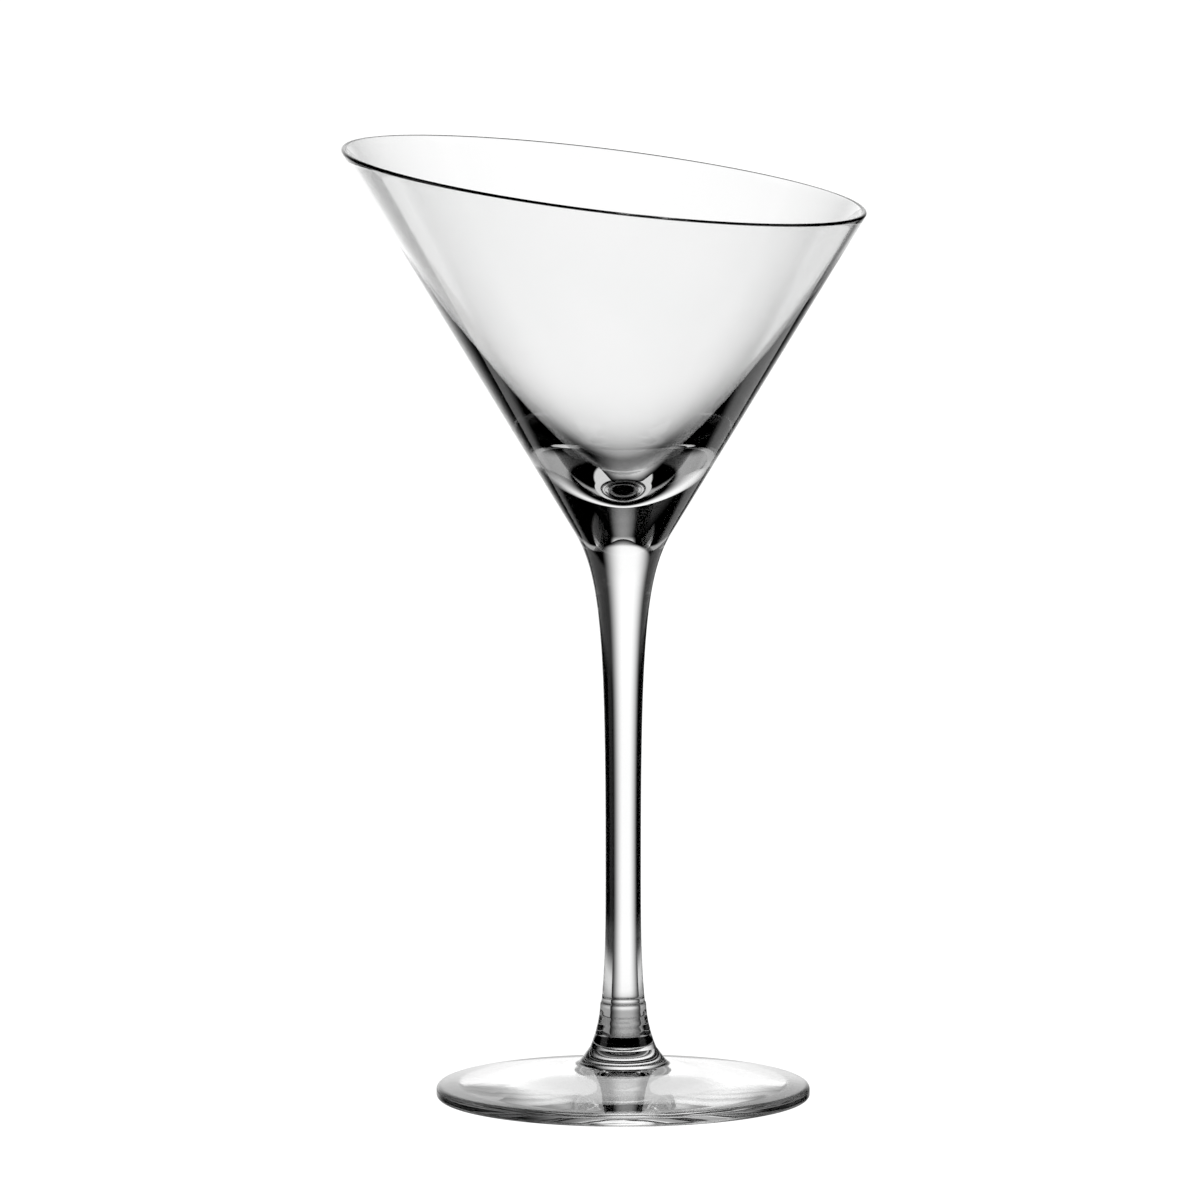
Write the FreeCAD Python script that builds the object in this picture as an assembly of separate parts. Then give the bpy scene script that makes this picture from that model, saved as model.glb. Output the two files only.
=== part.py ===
import FreeCAD, Part
import math
import os

# Martini glass with a slanted rim: a thin conical bowl with a thick floor, a drawn
# stem, a short collar and a blown foot, all of clear glass joined hot, end to end.
# Millimetres. +Z is up, the origin is the centre of the standing plane on the stem's
# axis. The rim is high towards -X and low towards +X.
# A spread is the radius gained for each millimetre of height at the end of a curve,
# and a pull is how far that end's slope carries along it.

# Bowl
CONE_HALF_ANGLE = 31.2       # outer wall, from the vertical
CONE_APEX_Z = 105.0          # where the outer wall would meet the axis
WALL = 1.0                   # thickness of the thin wall, square to it
RIM_CENTRE_Z = 197.6         # height of the rim's plane on the axis
RIM_SLOPE = 7.0              # tilt of the rim's plane, degrees
RIM_ROUND = 0.42             # fire-polished edge
CAVITY_BEND_Z = 185.0        # the wall thickens from here down
CAVITY_FLOOR_Z = 131.2
CAVITY_WALL_PULL = 32.0      # along the axis
CAVITY_FLOOR_PULL = 9.5      # across, where the floor is level
TRIM_Z = 215.0               # height of the untrimmed wall

# Joints, bottom to top
FOOT_TOP_Z = 10.85
FOOT_TOP_RADIUS = 7.1
COLLAR_TOP_Z = 20.6
COLLAR_TOP_RADIUS = 4.7
NECK_Z = 122.6

# Stem
WAIST_Z = 52.0               # its thinnest place
WAIST_RADIUS = 3.8
NECK_PULL = 9.0
WAIST_PULL_UP = 50.0
WAIST_PULL_DOWN = 10.0

# Collar: the short thicker piece that spreads towards the foot
COLLAR_TOP_SPREAD = -0.11
COLLAR_TOP_PULL_UP = 9.0
COLLAR_TOP_PULL_DOWN = 3.5
COLLAR_LOW_SPREAD = -0.42
COLLAR_LOW_PULL = 3.0

# Foot
FOOT_RADIUS = 40.0
FOOT_TOP_SPREAD = -0.75
FOOT_TOP_PULL = 2.0
FOOT_SLOPE_RADIUS = 10.5     # the straight slope begins here
FOOT_SLOPE_Z = 7.3
FOOT_SLOPE_PULL = 1.2        # across
FOOT_EDGE_HEIGHT = 2.7
FOOT_EDGE_TOP_ROUND = 1.2
FOOT_EDGE_LOW_ROUND = 0.8
STANDING_RING_INNER = 35.0
UNDERSIDE_RISE = 3.7         # hollow of the underside at the centre
UNDERSIDE_SLOPE = 0.10       # of the hollow, just inside the standing ring
UNDERSIDE_RING_PULL = 22.0   # across
UNDERSIDE_MIDDLE_PULL = 14.0


def point(radius, height):
    return FreeCAD.Vector(radius, 0, height)


def line(a, b):
    return Part.LineSegment(a, b).toShape()


def arc(a, middle, b):
    return Part.Arc(a, middle, b).toShape()


def bezier(*poles):
    curve = Part.BezierCurve()
    curve.setPoles(list(poles))
    return curve.toShape()


def side_curve(upper, upper_spread, upper_pull, lower, lower_spread, lower_pull):
    """A smooth side from its upper end down."""
    return bezier(
        upper,
        upper - point(upper_spread, 1) * upper_pull,
        lower + point(lower_spread, 1) * lower_pull,
        lower,
    )


def turn(edges):
    face = Part.Face(Part.Wire(edges))
    return face.revolve(FreeCAD.Vector(0, 0, 0), FreeCAD.Vector(0, 0, 1), 360)


def corner_arc(before, corner, after, radius):
    """Start, middle and end of the arc that rounds a corner of the profile."""
    u = (before - corner).normalize()
    v = (after - corner).normalize()
    half = u.getAngle(v) / 2
    reach = radius / math.tan(half)
    centre = corner + (u + v).normalize() * (radius / math.sin(half))
    middle = centre + (corner - centre).normalize() * radius
    return corner + u * reach, middle, corner + v * reach


def cone_radius(height, apex=CONE_APEX_Z):
    return (height - apex) * math.tan(math.radians(CONE_HALF_ANGLE))


def trim_to_rim(blank):
    """The bowl cut off along the slanted plane of its rim, with the edge rounded."""
    above = Part.makeBox(300, 300, 100, FreeCAD.Vector(-150, -150, 0))
    above.rotate(FreeCAD.Vector(0, 0, 0), FreeCAD.Vector(0, 1, 0), RIM_SLOPE)
    above.translate(FreeCAD.Vector(0, 0, RIM_CENTRE_Z))
    trimmed = blank.cut(above)
    slope = math.tan(math.radians(RIM_SLOPE))
    rim_edges = []
    for edge in trimmed.Edges:
        spots = [edge.valueAt(t) for t in edge.ParameterRange]
        spots.append(edge.valueAt(sum(edge.ParameterRange) / 2))
        if all(abs(s.z - (RIM_CENTRE_Z - s.x * slope)) < 0.01 for s in spots):
            rim_edges.append(edge)
    return trimmed.makeFillet(RIM_ROUND, rim_edges)


def bowl():
    inner_apex = CONE_APEX_Z + WALL / math.sin(math.radians(CONE_HALF_ANGLE))
    neck = point(cone_radius(NECK_Z), NECK_Z)
    top_out = point(cone_radius(TRIM_Z), TRIM_Z)
    top_in = point(cone_radius(TRIM_Z, inner_apex), TRIM_Z)
    bend = point(cone_radius(CAVITY_BEND_Z, inner_apex), CAVITY_BEND_Z)
    floor = point(0, CAVITY_FLOOR_Z)
    cavity = bezier(
        bend,
        bend - point(math.tan(math.radians(CONE_HALF_ANGLE)), 1) * CAVITY_WALL_PULL,
        floor + point(CAVITY_FLOOR_PULL, 0),
        floor,
    )
    return trim_to_rim(turn([
        line(point(0, NECK_Z), neck),
        line(neck, top_out),
        line(top_out, top_in),
        line(top_in, bend),
        cavity,
        line(floor, point(0, NECK_Z)),
    ]))


def turned_between(top, sides, bottom):
    """A solid turned piece with flat joint faces at both ends."""
    return turn([
        line(point(0, top.z), top),
        *sides,
        line(bottom, point(0, bottom.z)),
        line(point(0, bottom.z), point(0, top.z)),
    ])


def stem():
    neck = point(cone_radius(NECK_Z), NECK_Z)
    waist = point(WAIST_RADIUS, WAIST_Z)
    bottom = point(COLLAR_TOP_RADIUS, COLLAR_TOP_Z)
    cone_spread = math.tan(math.radians(CONE_HALF_ANGLE))
    upper = side_curve(neck, cone_spread, NECK_PULL, waist, 0, WAIST_PULL_UP)
    lower = side_curve(waist, 0, WAIST_PULL_DOWN, bottom, COLLAR_TOP_SPREAD, COLLAR_TOP_PULL_UP)
    return turned_between(neck, [upper, lower], bottom)


def stem_collar():
    top = point(COLLAR_TOP_RADIUS, COLLAR_TOP_Z)
    bottom = point(FOOT_TOP_RADIUS, FOOT_TOP_Z)
    side = side_curve(top, COLLAR_TOP_SPREAD, COLLAR_TOP_PULL_DOWN,
                      bottom, COLLAR_LOW_SPREAD, COLLAR_LOW_PULL)
    return turned_between(top, [side], bottom)


def foot():
    top = point(FOOT_TOP_RADIUS, FOOT_TOP_Z)
    slope_start = point(FOOT_SLOPE_RADIUS, FOOT_SLOPE_Z)
    edge_top = point(FOOT_RADIUS, FOOT_EDGE_HEIGHT)
    edge_low = point(FOOT_RADIUS, 0)
    ring = point(STANDING_RING_INNER, 0)
    hollow = point(0, UNDERSIDE_RISE)
    fall = (slope_start.z - edge_top.z) / (edge_top.x - slope_start.x)

    sweep = bezier(
        top,
        top - point(FOOT_TOP_SPREAD, 1) * FOOT_TOP_PULL,
        slope_start + point(-1, fall) * FOOT_SLOPE_PULL,
        slope_start,
    )
    underside = bezier(
        ring,
        ring + point(-1, UNDERSIDE_SLOPE) * UNDERSIDE_RING_PULL,
        hollow + point(UNDERSIDE_MIDDLE_PULL, 0),
        hollow,
    )
    high = corner_arc(slope_start, edge_top, edge_low, FOOT_EDGE_TOP_ROUND)
    low = corner_arc(edge_top, edge_low, ring, FOOT_EDGE_LOW_ROUND)
    return turn([
        line(point(0, FOOT_TOP_Z), top),
        sweep,
        line(slope_start, high[0]),
        arc(*high),
        line(high[2], low[0]),
        arc(*low),
        line(low[2], ring),
        underside,
        line(hollow, point(0, FOOT_TOP_Z)),
    ])


os.makedirs("parts", exist_ok=True)
NODES = {"bowl": bowl(), "stem": stem(), "stem_collar": stem_collar(), "foot": foot()}
for name, shape in NODES.items():
    shape.exportStep(os.path.join("parts", name + ".step"))
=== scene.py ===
import math

import bpy
import numpy as np
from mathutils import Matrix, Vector, noise


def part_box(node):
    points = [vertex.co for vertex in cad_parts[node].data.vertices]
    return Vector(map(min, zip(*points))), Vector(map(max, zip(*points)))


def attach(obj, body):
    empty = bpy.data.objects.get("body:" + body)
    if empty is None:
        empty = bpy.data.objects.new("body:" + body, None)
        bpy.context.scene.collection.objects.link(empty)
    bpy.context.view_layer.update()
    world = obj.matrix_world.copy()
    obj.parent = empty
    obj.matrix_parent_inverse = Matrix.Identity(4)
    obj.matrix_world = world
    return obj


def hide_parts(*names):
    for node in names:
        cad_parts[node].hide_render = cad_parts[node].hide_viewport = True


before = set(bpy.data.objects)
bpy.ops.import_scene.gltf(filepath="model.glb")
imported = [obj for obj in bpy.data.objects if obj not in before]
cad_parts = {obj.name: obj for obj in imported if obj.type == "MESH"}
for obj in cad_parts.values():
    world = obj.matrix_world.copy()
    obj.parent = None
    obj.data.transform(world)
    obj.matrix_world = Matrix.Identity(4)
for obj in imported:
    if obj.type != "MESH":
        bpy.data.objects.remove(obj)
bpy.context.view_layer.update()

# Martini glass with a slanted rim, in clear glass. Metres, in the CAD frame: +Z up,
# origin at the centre of the standing plane, rim high towards -X.

MM = 0.001

# ---------------------------------------------------------------- sizes from the frame
NECK_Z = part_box("stem")[1].z
NECK_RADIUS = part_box("stem")[1].x
COLLAR_TOP_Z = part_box("stem_collar")[1].z
FOOT_TOP_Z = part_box("foot")[1].z
FOOT_TOP_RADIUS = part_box("stem_collar")[1].x
FOOT_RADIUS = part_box("foot")[1].x

# ---------------------------------------------------------------- bowl
CONE_HALF_ANGLE = math.radians(31.2)
CONE_APEX_Z = NECK_Z - NECK_RADIUS / math.tan(CONE_HALF_ANGLE)
WALL = 1.0 * MM
RIM_CENTRE_Z = 197.6 * MM
RIM_SLOPE = math.tan(math.radians(7.0))
CAVITY_BEND_Z = 185.0 * MM        # the wall thickens from here down
CAVITY_FLOOR_Z = 131.2 * MM
CAVITY_WALL_PULL = 32.0 * MM      # how far the wall's own slope carries down
CAVITY_FLOOR_PULL = 9.5 * MM      # how far the floor stays level

# ---------------------------------------------------------------- stem and collar
COLLAR_TOP_RADIUS = 4.7 * MM
WAIST_Z = 52.0 * MM               # the stem's thinnest place
WAIST_RADIUS = 3.8 * MM
NECK_PULL = 9.0 * MM              # how far down the bowl's slope carries into the stem
WAIST_PULL_UP = 50.0 * MM         # how far the waist stays straight, up and down
WAIST_PULL_DOWN = 10.0 * MM
COLLAR_TOP_SPREAD = -0.11         # radius gained for each unit of height
COLLAR_TOP_PULL_UP = 9.0 * MM
COLLAR_TOP_PULL_DOWN = 3.5 * MM
COLLAR_LOW_SPREAD = -0.42
COLLAR_LOW_PULL = 3.0 * MM

# ---------------------------------------------------------------- foot
FOOT_TOP_SPREAD = -0.75
FOOT_TOP_PULL = 2.0 * MM
FOOT_SLOPE_RADIUS = 10.5 * MM    # the straight slope begins here
FOOT_SLOPE_Z = 7.3 * MM
FOOT_SLOPE_PULL = 1.2 * MM
FOOT_EDGE_HEIGHT = 2.7 * MM
FOOT_EDGE_TOP_ROUND = 1.2 * MM
FOOT_EDGE_LOW_ROUND = 0.8 * MM
STANDING_RING_INNER = 35.0 * MM
UNDERSIDE_RISE = 3.7 * MM
UNDERSIDE_SLOPE = 0.10            # of the hollow, just inside the standing ring
UNDERSIDE_RING_PULL = 22.0 * MM
UNDERSIDE_MIDDLE_PULL = 14.0 * MM

# ---------------------------------------------------------------- marks of hand work
SEAM_STEP = 0.25 * MM             # the lip round the joint of stem and collar
SEAM_WIDTH = 0.12 * MM
SEAM_FADE = 2.0 * MM
TOOL_DEPTH = 0.010 * MM           # rings that the jacks leave on the collar
TOOL_PITCH = 1.9 * MM
FOOT_WAVE = 0.025 * MM            # unevenness of the foot's top
FOOT_WAVE_LENGTH = 11.0 * MM
STEM_WAVE = 0.012 * MM            # unevenness of the stem's side
STEM_WAVE_LENGTH = 14.0 * MM

SEAM_REACH = 8                    # the lip is sampled finely this many widths each way
SEAM_SAMPLES = 33
SEED_STEP = Vector((7.3, 3.1, 0))

# ---------------------------------------------------------------- surface of the glass
GLASS_IOR = 1.52
STREAK_PATTERN = (420, 420, 45)   # a pattern's cells in a metre along X, Y and Z
STREAK_STRENGTH = 0.10
STREAK_DEPTH = 0.03 * MM
TINT_PATTERN = (35, 35, 22)
TINT = (0.984, 0.987, 0.986, 1)
TINT_RANGE = (0.35, 0.65)
SCUFF_PATTERN = (1500, 1500, 1500)
SCUFF_HEIGHT = 0.06 * MM          # the standing ring is scuffed up to here
SCUFF_ROUGHNESS = 0.35

# ---------------------------------------------------------------- fineness of the meshes
SEGMENTS = 288                    # round the axis
SHARP_ANGLE = math.radians(50)
POINT_RADIUS = 1e-9               # a smaller ring is a single point
OUTER_WALL_RINGS = 60
LIP_RINGS = 11
INNER_WALL_RINGS = 31
CAVITY_POINTS = 110
STEM_POINTS = 130                 # for each of its two curves
COLLAR_POINTS = 110
SWEEP_POINTS = 60
SLOPE_POINTS = 40
EDGE_TOP_POINTS = 16
EDGE_SIDE_POINTS = 3
EDGE_LOW_POINTS = 12
STANDING_RING_POINTS = 8
HOLLOW_POINTS = 60
SHEET_SIDES = 96

# ---------------------------------------------------------------- camera
SENSOR_WIDTH = 36.0
CAMERA_CLIP = (0.1, 50.0)
CAMERA_ELEVATION = math.radians(8.05)
CAMERA_DISTANCE = 4.5
CAMERA_LENS = 632.0
CAMERA_AIM = Vector((-4.96 * MM, 0, 107.5 * MM))
LIGHT_BOUNCES = 32

# ---------------------------------------------------------------- backlight
PANEL_Y = 1.0
PANEL_GLOW = 1.1
LEFT_FADE = (-0.80, -0.20)        # dark to lit, in metres across the panel
RIGHT_FADE = (0.0, 0.47)          # lit to dark
LOW_FADE = (-0.8, -0.15)          # dark to lit, in metres up the panel
TOP_FADE = (0.67, 0.85)           # lit to dark

# ---------------------------------------------------------------- room, in degrees
SIDE_GLOW = 0.4
LOW_GLOW = 0.7
FLAG_START = (8, 14)              # turned to either side from straight behind the glass
FLAG_END = (76, 88)
DARK_REAR = (105, 118)
FLAG_FOOT = (-14, -11)            # above the horizon
DARK_TOP = (34, 40)
DARK_LOW = (-39, -33)

# ---------------------------------------------------------------- floor, and the painted shadow under the foot
FLOOR_GLOW = 1.1
FLOOR_INNER = 38.5 * MM
FLOOR_OUTER = 400.0 * MM
PAINTED_SHADOW_LEVEL = 0.5                 # how much light the painted shadow under the foot lets through in the middle
PAINTED_SHADOW_FADE = (65.0 * MM, 95.0 * MM)
PAINTED_SHADOW_INNER = 0.1 * MM
PAINTED_SHADOW_Z = -0.2 * MM


def corner_arc(before, corner, after, radius, count):
    """Points of the arc that rounds the corner of a profile."""
    before, corner, after = (np.array(p, float) for p in (before, corner, after))
    u = (before - corner) / np.linalg.norm(before - corner)
    v = (after - corner) / np.linalg.norm(after - corner)
    half = math.acos(np.clip(u @ v, -1, 1)) / 2
    start, end = corner + u * radius / math.tan(half), corner + v * radius / math.tan(half)
    bisector = (u + v) / np.linalg.norm(u + v)
    centre = corner + bisector * radius / math.sin(half)
    sweep = math.pi - 2 * half
    a = (start - centre) / radius
    b = (end - centre) / radius
    t = np.linspace(0, 1, count)[:, None]
    return centre + radius * (np.sin((1 - t) * sweep) * a + np.sin(t * sweep) * b) / math.sin(sweep)


def run(a, b, count):
    """Points along a straight stretch of a profile."""
    return np.linspace(a, b, count)


def join(*stretches):
    """One profile from stretches whose ends meet."""
    points = [stretches[0]]
    for stretch in stretches[1:]:
        points.append(stretch[1:])
    return np.concatenate(points)


def bezier(poles, count):
    """Points of a cubic curve from its four poles."""
    a, b, c, d = (np.array(p, float) for p in poles)
    t = np.linspace(0, 1, count)[:, None]
    return (1 - t)**3 * a + 3 * (1 - t)**2 * t * b + 3 * (1 - t) * t**2 * c + t**3 * d


def side_curve(upper, upper_spread, upper_pull, lower, lower_spread, lower_pull, count):
    """A smooth side from its upper end down. A spread is the radius gained for each unit
    of height at that end, and a pull is how far that slope carries."""
    return bezier((
        upper,
        (upper[0] - upper_spread * upper_pull, upper[1] - upper_pull),
        (lower[0] + lower_spread * lower_pull, lower[1] + lower_pull),
        lower,
    ), count)


def cone_radius(height, apex):
    return (height - apex) * math.tan(CONE_HALF_ANGLE)


def turned(name, rings, weld_rings):
    """A closed mesh from rings of points, first to last, each an array of (radius, height)
    for every azimuth. A ring of radius nought is a single point. The stretches between
    the rings named in weld_rings are joint faces."""
    theta = np.arange(SEGMENTS) * 2 * math.pi / SEGMENTS
    verts, starts = [], []
    for ring in rings:
        radius = np.broadcast_to(ring[0], SEGMENTS)
        height = np.broadcast_to(ring[1], SEGMENTS)
        starts.append(len(verts))
        if radius.max() < POINT_RADIUS:
            verts.append((0.0, 0.0, float(height[0])))
        else:
            verts.extend(zip(radius * np.cos(theta), radius * np.sin(theta), height))
    counts = [b - a for a, b in zip(starts, starts[1:] + [len(verts)])]
    faces, weld = [], []
    for k in range(len(rings) - 1):
        a, b = starts[k], starts[k + 1]
        for j in range(SEGMENTS):
            m = (j + 1) % SEGMENTS
            if counts[k] == 1:
                faces.append((a, b + m, b + j))
            elif counts[k + 1] == 1:
                faces.append((a + j, a + m, b))
            else:
                faces.append((a + j, a + m, b + m, b + j))
            weld.append(k in weld_rings)
    mesh = bpy.data.meshes.new(name)
    mesh.from_pydata(verts, [], faces)
    mesh.materials.append(clear_glass)
    mesh.materials.append(hot_joint)
    mesh.polygons.foreach_set("material_index", [int(w) for w in weld])
    mesh.polygons.foreach_set("use_smooth", [True] * len(faces))
    mesh.update()
    mesh.set_sharp_from_angle(angle=SHARP_ANGLE)
    piece = bpy.data.objects.new(name, mesh)
    bpy.context.scene.collection.objects.link(piece)
    return piece


def make_clear_glass():
    """Clear glass with drawing streaks, a faint change of tint and a scuffed standing ring."""
    material = bpy.data.materials.new("clear_glass")
    material.use_nodes = True
    nodes, links = material.node_tree.nodes, material.node_tree.links
    nodes.clear()
    out = nodes.new("ShaderNodeOutputMaterial")
    glass = nodes.new("ShaderNodeBsdfPrincipled")
    glass.inputs["IOR"].default_value = GLASS_IOR
    glass.inputs["Transmission Weight"].default_value = 1.0
    links.new(glass.outputs["BSDF"], out.inputs["Surface"])
    place = nodes.new("ShaderNodeTexCoord")

    def pattern(stretch, detail):
        mapping = nodes.new("ShaderNodeMapping")
        mapping.inputs["Scale"].default_value = stretch
        texture = nodes.new("ShaderNodeTexNoise")
        texture.inputs["Scale"].default_value = 1.0
        texture.inputs["Detail"].default_value = detail
        links.new(place.outputs["Object"], mapping.inputs["Vector"])
        links.new(mapping.outputs["Vector"], texture.inputs["Vector"])
        return texture.outputs["Fac"]

    streaks = nodes.new("ShaderNodeBump")
    streaks.inputs["Strength"].default_value = STREAK_STRENGTH
    streaks.inputs["Distance"].default_value = STREAK_DEPTH
    links.new(pattern(STREAK_PATTERN, 0), streaks.inputs["Height"])
    links.new(streaks.outputs["Normal"], glass.inputs["Normal"])

    tint = nodes.new("ShaderNodeValToRGB")
    tint.color_ramp.elements[0].color = TINT
    tint.color_ramp.elements[1].color = (1.0, 1.0, 1.0, 1)
    tint.color_ramp.elements[0].position = TINT_RANGE[0]
    tint.color_ramp.elements[1].position = TINT_RANGE[1]
    links.new(pattern(TINT_PATTERN, 1), tint.inputs["Fac"])
    links.new(tint.outputs["Color"], glass.inputs["Base Color"])

    split = nodes.new("ShaderNodeSeparateXYZ")
    contact = nodes.new("ShaderNodeMapRange")
    contact.inputs["From Min"].default_value = 0.0
    contact.inputs["From Max"].default_value = SCUFF_HEIGHT
    contact.inputs["To Min"].default_value = SCUFF_ROUGHNESS
    contact.inputs["To Max"].default_value = 0.0
    scuff = nodes.new("ShaderNodeMath")
    scuff.operation = "MULTIPLY"
    links.new(place.outputs["Object"], split.inputs["Vector"])
    links.new(split.outputs["Z"], contact.inputs["Value"])
    links.new(contact.outputs["Result"], scuff.inputs[0])
    links.new(pattern(SCUFF_PATTERN, 3), scuff.inputs[1])
    links.new(scuff.outputs["Value"], glass.inputs["Roughness"])
    return material


def make_hot_joint():
    """The hidden faces where two pieces are fused: light passes as if they weren't there."""
    material = bpy.data.materials.new("hot_joint")
    material.use_nodes = True
    nodes, links = material.node_tree.nodes, material.node_tree.links
    nodes.clear()
    out = nodes.new("ShaderNodeOutputMaterial")
    clear = nodes.new("ShaderNodeBsdfTransparent")
    links.new(clear.outputs["BSDF"], out.inputs["Surface"])
    return material


clear_glass = make_clear_glass()
hot_joint = make_hot_joint()


def cavity_side(inner_apex):
    """The cavity's outline from the thin wall down to the middle of its floor."""
    lean = math.tan(CONE_HALF_ANGLE)
    bend_r = cone_radius(CAVITY_BEND_Z, inner_apex)
    return bezier((
        (bend_r, CAVITY_BEND_Z),
        (bend_r - lean * CAVITY_WALL_PULL, CAVITY_BEND_Z - CAVITY_WALL_PULL),
        (CAVITY_FLOOR_PULL, CAVITY_FLOOR_Z),
        (0, CAVITY_FLOOR_Z),
    ), CAVITY_POINTS)


def make_bowl():
    theta = np.arange(SEGMENTS) * 2 * math.pi / SEGMENTS
    lean = math.tan(CONE_HALF_ANGLE)
    inner_apex = CONE_APEX_Z + WALL / math.sin(CONE_HALF_ANGLE)
    middle_apex = (CONE_APEX_Z + inner_apex) / 2
    # the lip is a half round whose centre runs round the rim, in the slanted plane
    lip = WALL / 2
    lip_radius = (RIM_CENTRE_Z - lip - middle_apex) / (1 / lean + RIM_SLOPE * np.cos(theta))
    lip_z = middle_apex + lip_radius / lean
    across = np.array([math.cos(CONE_HALF_ANGLE), -math.sin(CONE_HALF_ANGLE)]) * lip
    along = np.array([math.sin(CONE_HALF_ANGLE), math.cos(CONE_HALF_ANGLE)]) * lip
    outer_top = (lip_radius + across[0], lip_z + across[1])
    inner_top = (lip_radius - across[0], lip_z - across[1])

    cavity = cavity_side(inner_apex)

    rings = disc(NECK_RADIUS, NECK_Z)
    weld = set(range(len(rings) - 1))
    for f in np.linspace(0, 1, OUTER_WALL_RINGS + 1)[1:]:
        rings.append((
            NECK_RADIUS + (outer_top[0] - NECK_RADIUS) * f,
            NECK_Z + (outer_top[1] - NECK_Z) * f,
        ))
    for turn in np.linspace(0, math.pi, LIP_RINGS + 2)[1:-1]:
        rings.append((
            lip_radius + across[0] * math.cos(turn) + along[0] * math.sin(turn),
            lip_z + across[1] * math.cos(turn) + along[1] * math.sin(turn),
        ))
    for f in np.linspace(0, 1, INNER_WALL_RINGS):
        rings.append((
            inner_top[0] + (cavity[0][0] - inner_top[0]) * f,
            inner_top[1] + (cavity[0][1] - inner_top[1]) * f,
        ))
    rings.extend(map(tuple, cavity[1:]))
    return turned("bowl_glass", rings, weld)


def seam(side):
    """The outline with the small lip where the collar's glass laps the stem's."""
    near = COLLAR_TOP_Z + np.linspace(-SEAM_REACH, SEAM_REACH, SEAM_SAMPLES) * SEAM_WIDTH
    low, high = side[:, 1].min(), side[:, 1].max()
    near = near[(near > low) & (near < high)]
    heights = np.unique(np.concatenate([side[:, 1], near]))[::-1]
    radius = np.interp(heights, side[::-1, 1], side[::-1, 0])
    below = COLLAR_TOP_Z - heights
    lip = SEAM_STEP / (1 + np.exp(-below / SEAM_WIDTH)) * np.exp(-np.maximum(below, 0) / SEAM_FADE)
    return np.stack([radius + lip, heights], 1)


def unevenness(radius, height, length, seed):
    """A smooth seeded value between about -1 and 1 at each point round a ring."""
    theta = np.arange(SEGMENTS) * 2 * math.pi / SEGMENTS
    offset = SEED_STEP * seed
    return np.array([
        noise.noise(Vector((radius * math.cos(a), radius * math.sin(a), height)) / length + offset)
        for a in theta
    ])


def disc(radius, height, count=5):
    """Rings of a flat round face, from its centre out."""
    return [(radius * f, height) for f in np.linspace(0, 1, count + 1)]


def make_stem():
    waist = (WAIST_RADIUS, WAIST_Z)
    upper = side_curve((NECK_RADIUS, NECK_Z), math.tan(CONE_HALF_ANGLE), NECK_PULL,
                       waist, 0, WAIST_PULL_UP, STEM_POINTS)
    lower = side_curve(waist, 0, WAIST_PULL_DOWN,
                       (COLLAR_TOP_RADIUS, COLLAR_TOP_Z), COLLAR_TOP_SPREAD, COLLAR_TOP_PULL_UP,
                       STEM_POINTS)
    side = seam(join(upper, lower))
    top = disc(NECK_RADIUS, NECK_Z)
    low = disc(side[-1, 0], COLLAR_TOP_Z)[::-1]
    span = NECK_Z - COLLAR_TOP_Z
    rings = list(top)
    for radius, height in side[1:]:
        ease = math.sin(math.pi * (height - COLLAR_TOP_Z) / span)
        wave = unevenness(radius, height, STEM_WAVE_LENGTH, 1)
        rings.append((radius + STEM_WAVE * ease * wave, height))
    rings += low[1:]
    weld = set(range(len(top) - 1)) | set(range(len(rings) - len(low), len(rings)))
    piece = turned("stem_glass", rings, weld)
    piece.data.flip_normals()
    return piece


def make_collar():
    side = side_curve((COLLAR_TOP_RADIUS, COLLAR_TOP_Z), COLLAR_TOP_SPREAD, COLLAR_TOP_PULL_DOWN,
                      (FOOT_TOP_RADIUS, FOOT_TOP_Z), COLLAR_LOW_SPREAD, COLLAR_LOW_PULL,
                      COLLAR_POINTS)
    side = seam(side)
    ease = np.sin(math.pi * (side[:, 1] - FOOT_TOP_Z) / (COLLAR_TOP_Z - FOOT_TOP_Z))
    side[:, 0] += TOOL_DEPTH * ease * np.cos(2 * math.pi * side[:, 1] / TOOL_PITCH)
    top = disc(side[0, 0], COLLAR_TOP_Z)
    low = disc(FOOT_TOP_RADIUS, FOOT_TOP_Z)[::-1]
    rings = top + list(map(tuple, side[1:])) + low[1:]
    weld = set(range(len(top) - 1)) | set(range(len(rings) - len(low), len(rings)))
    piece = turned("stem_collar_glass", rings, weld)
    piece.data.flip_normals()
    return piece


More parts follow.
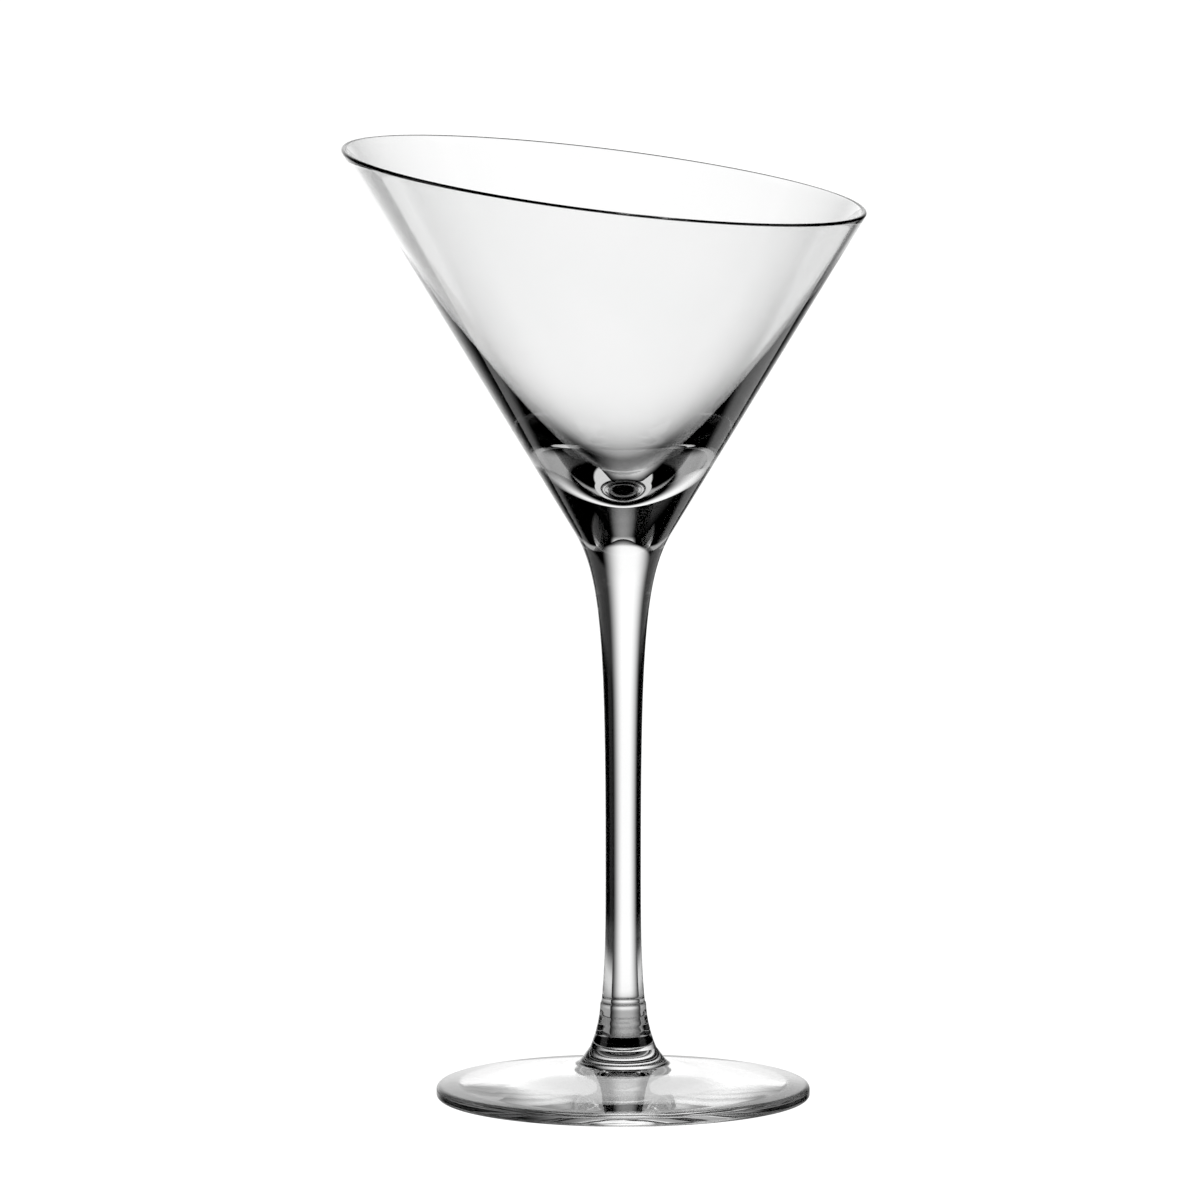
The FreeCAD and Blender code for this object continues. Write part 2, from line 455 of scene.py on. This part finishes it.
def make_foot():
    slope_start = (FOOT_SLOPE_RADIUS, FOOT_SLOPE_Z)
    edge_top = (FOOT_RADIUS, FOOT_EDGE_HEIGHT)
    edge_low = (FOOT_RADIUS, 0)
    ring = (STANDING_RING_INNER, 0)
    fall = (slope_start[1] - edge_top[1]) / (edge_top[0] - slope_start[0])
    sweep = bezier((
        (FOOT_TOP_RADIUS, FOOT_TOP_Z),
        (FOOT_TOP_RADIUS - FOOT_TOP_SPREAD * FOOT_TOP_PULL, FOOT_TOP_Z - FOOT_TOP_PULL),
        (slope_start[0] - FOOT_SLOPE_PULL, slope_start[1] + fall * FOOT_SLOPE_PULL),
        slope_start,
    ), SWEEP_POINTS)
    high = corner_arc(slope_start, edge_top, edge_low, FOOT_EDGE_TOP_ROUND, EDGE_TOP_POINTS)
    low = corner_arc(edge_top, edge_low, ring, FOOT_EDGE_LOW_ROUND, EDGE_LOW_POINTS)
    hollow = bezier((
        ring,
        (ring[0] - UNDERSIDE_RING_PULL, UNDERSIDE_SLOPE * UNDERSIDE_RING_PULL),
        (UNDERSIDE_MIDDLE_PULL, UNDERSIDE_RISE),
        (0, UNDERSIDE_RISE),
    ), HOLLOW_POINTS)
    top_count = SWEEP_POINTS + SLOPE_POINTS - 2
    side = join(
        sweep,
        run(slope_start, high[0], SLOPE_POINTS),
        high,
        run(high[-1], low[0], EDGE_SIDE_POINTS),
        low,
        run(low[-1], ring, STANDING_RING_POINTS),
        hollow,
    )
    top = disc(FOOT_TOP_RADIUS, FOOT_TOP_Z)
    rings = list(top)
    for k, (radius, height) in enumerate(side[1:]):
        if k < top_count:
            ease = math.sin(math.pi * (k + 1) / (top_count + 1))
            height = height + FOOT_WAVE * ease * unevenness(radius, 0, FOOT_WAVE_LENGTH, 2)
        rings.append((radius, height))
    piece = turned("foot_glass", rings, set(range(len(top) - 1)))
    piece.data.flip_normals()
    return piece


PIECES = {"bowl": make_bowl(), "stem": make_stem(), "stem_collar": make_collar(), "foot": make_foot()}
for node, piece in PIECES.items():
    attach(piece, "root")
    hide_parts(node)


def make_camera():
    data = bpy.data.cameras.new("camera")
    data.lens = CAMERA_LENS
    data.sensor_width = SENSOR_WIDTH
    data.clip_start, data.clip_end = CAMERA_CLIP
    camera = bpy.data.objects.new("camera", data)
    back = Vector((0, -math.cos(CAMERA_ELEVATION), math.sin(CAMERA_ELEVATION)))
    camera.location = CAMERA_AIM + back * CAMERA_DISTANCE
    camera.rotation_mode = "QUATERNION"
    camera.rotation_quaternion = (-back).to_track_quat("-Z", "Y")
    bpy.context.scene.collection.objects.link(camera)
    bpy.context.scene.camera = camera


def emission(name, strength):
    material = bpy.data.materials.new(name)
    material.use_nodes = True
    nodes, links = material.node_tree.nodes, material.node_tree.links
    nodes.clear()
    out = nodes.new("ShaderNodeOutputMaterial")
    glow = nodes.new("ShaderNodeEmission")
    glow.inputs["Strength"].default_value = strength
    links.new(glow.outputs["Emission"], out.inputs["Surface"])
    return material, glow, nodes, links


def rectangle(name, across, y, up, material):
    mesh = bpy.data.meshes.new(name)
    corners = [(across[0], y, up[0]), (across[1], y, up[0]),
               (across[1], y, up[1]), (across[0], y, up[1])]
    mesh.from_pydata(corners, [], [(0, 1, 2, 3)])
    mesh.materials.append(material)
    sheet = bpy.data.objects.new(name, mesh)
    bpy.context.scene.collection.objects.link(sheet)
    return sheet


def combine(nodes, links, operation, first, second):
    node = nodes.new("ShaderNodeMath")
    node.operation = operation
    links.new(first, node.inputs[0])
    links.new(second, node.inputs[1])
    return node.outputs["Value"]


def smooth_fade(nodes, links, source, span, before, after):
    """A soft step from one level to another, as the source crosses the span."""
    node = nodes.new("ShaderNodeMapRange")
    node.interpolation_type = "SMOOTHSTEP"
    node.inputs["From Min"].default_value = span[0]
    node.inputs["From Max"].default_value = span[1]
    node.inputs["To Min"].default_value = before
    node.inputs["To Max"].default_value = after
    links.new(source, node.inputs["Value"])
    return node.outputs["Result"]


def make_panel():
    """The backlight, dark towards its edges. The glass sees it and the camera doesn't."""
    material, glow, nodes, links = emission("backlight", 1.0)
    place = nodes.new("ShaderNodeTexCoord")
    split = nodes.new("ShaderNodeSeparateXYZ")
    links.new(place.outputs["Object"], split.inputs["Vector"])
    level = smooth_fade(nodes, links, split.outputs["X"], LEFT_FADE, 0, PANEL_GLOW)
    others = (("X", RIGHT_FADE, 1, 0), ("Z", LOW_FADE, 0, 1), ("Z", TOP_FADE, 1, 0))
    for axis, span, before, after in others:
        fade = smooth_fade(nodes, links, split.outputs[axis], span, before, after)
        level = combine(nodes, links, "MULTIPLY", level, fade)
    links.new(level, glow.inputs["Strength"])
    panel = rectangle("backlight", (LEFT_FADE[0], RIGHT_FADE[1]), PANEL_Y,
                      (LOW_FADE[0], TOP_FADE[1]), material)
    panel.visible_camera = False


def make_room():
    """A room that stands still: white behind the backlight, a dark flag on each side of it,
    pale walls beyond the flags and pale low down, and dark overhead, underfoot and at the
    end opposite the backlight."""
    world = bpy.data.worlds.new("studio_room")
    world.use_nodes = True
    nodes, links = world.node_tree.nodes, world.node_tree.links
    place = nodes.new("ShaderNodeTexCoord")
    split = nodes.new("ShaderNodeSeparateXYZ")
    links.new(place.outputs["Generated"], split.inputs["Vector"])

    def around(span, before, after):
        return smooth_fade(nodes, links, turn, [math.radians(a) for a in span], before, after)

    def upward(span, before, after):
        sines = [math.sin(math.radians(a)) for a in span]
        return smooth_fade(nodes, links, split.outputs["Z"], sines, before, after)

    signed = combine(nodes, links, "ARCTAN2", split.outputs["X"], split.outputs["Y"])
    either = nodes.new("ShaderNodeMath")
    either.operation = "ABSOLUTE"
    links.new(signed, either.inputs[0])
    turn = either.outputs["Value"]

    behind = around(FLAG_START, PANEL_GLOW, 0)
    sides = combine(nodes, links, "MULTIPLY", around(FLAG_END, 0, SIDE_GLOW), around(DARK_REAR, 1, 0))
    walls = combine(nodes, links, "MAXIMUM", behind, sides)
    walls = combine(nodes, links, "MAXIMUM", walls, upward(FLAG_FOOT, LOW_GLOW, 0))
    ends = combine(nodes, links, "MULTIPLY", upward(DARK_TOP, 1, 0), upward(DARK_LOW, 0, 1))
    level = combine(nodes, links, "MULTIPLY", walls, ends)
    links.new(level, nodes["Background"].inputs["Strength"])
    nodes["Background"].inputs["Color"].default_value = (1, 1, 1, 1)
    bpy.context.scene.world = world


def round_sheet(name, inner, outer, height, material):
    sides = SHEET_SIDES
    turn = np.arange(sides) * 2 * math.pi / sides
    circle = np.stack([np.cos(turn), np.sin(turn)], 1)
    verts = [(x * r, y * r, height) for r in (inner, outer) for x, y in circle.tolist()]
    faces = [(i, sides + i, sides + (i + 1) % sides, (i + 1) % sides) for i in range(sides)]
    mesh = bpy.data.meshes.new(name)
    mesh.from_pydata(verts, [], faces)
    mesh.materials.append(material)
    sheet = bpy.data.objects.new(name, mesh)
    bpy.context.scene.collection.objects.link(sheet)
    return sheet


def make_floor():
    """A pale floor that only the camera sees, and a painted soft shadow under the foot: a sheet
    that dims what shows through the foot."""
    white = emission("floor_white", FLOOR_GLOW)[0]
    floor = round_sheet("floor", FLOOR_INNER, FLOOR_OUTER, 0, white)
    floor.visible_transmission = False
    floor.visible_glossy = False

    # painted shadow: a clear sheet under the foot, darker in the middle, that stands in for the
    # foot's contact shadow on the floor
    material = bpy.data.materials.new("painted_foot_shadow")
    material.use_nodes = True
    nodes, links = material.node_tree.nodes, material.node_tree.links
    nodes.clear()
    out = nodes.new("ShaderNodeOutputMaterial")
    shade = nodes.new("ShaderNodeBsdfTransparent")
    place = nodes.new("ShaderNodeTexCoord")
    distance = nodes.new("ShaderNodeVectorMath")
    distance.operation = "LENGTH"
    links.new(place.outputs["Object"], distance.inputs[0])
    fade = smooth_fade(nodes, links, distance.outputs["Value"], PAINTED_SHADOW_FADE, PAINTED_SHADOW_LEVEL, 1)
    links.new(fade, shade.inputs["Color"])
    links.new(shade.outputs["BSDF"], out.inputs["Surface"])
    round_sheet("painted_foot_shadow", PAINTED_SHADOW_INNER, PAINTED_SHADOW_FADE[1], PAINTED_SHADOW_Z, material)


make_camera()
make_panel()
make_floor()
make_room()

scene = bpy.context.scene
scene.view_settings.view_transform = "Standard"
scene.cycles.max_bounces = LIGHT_BOUNCES
scene.cycles.transmission_bounces = LIGHT_BOUNCES
scene.cycles.glossy_bounces = LIGHT_BOUNCES
scene.cycles.transparent_max_bounces = LIGHT_BOUNCES
scene.cycles.sample_clamp_indirect = 0.0
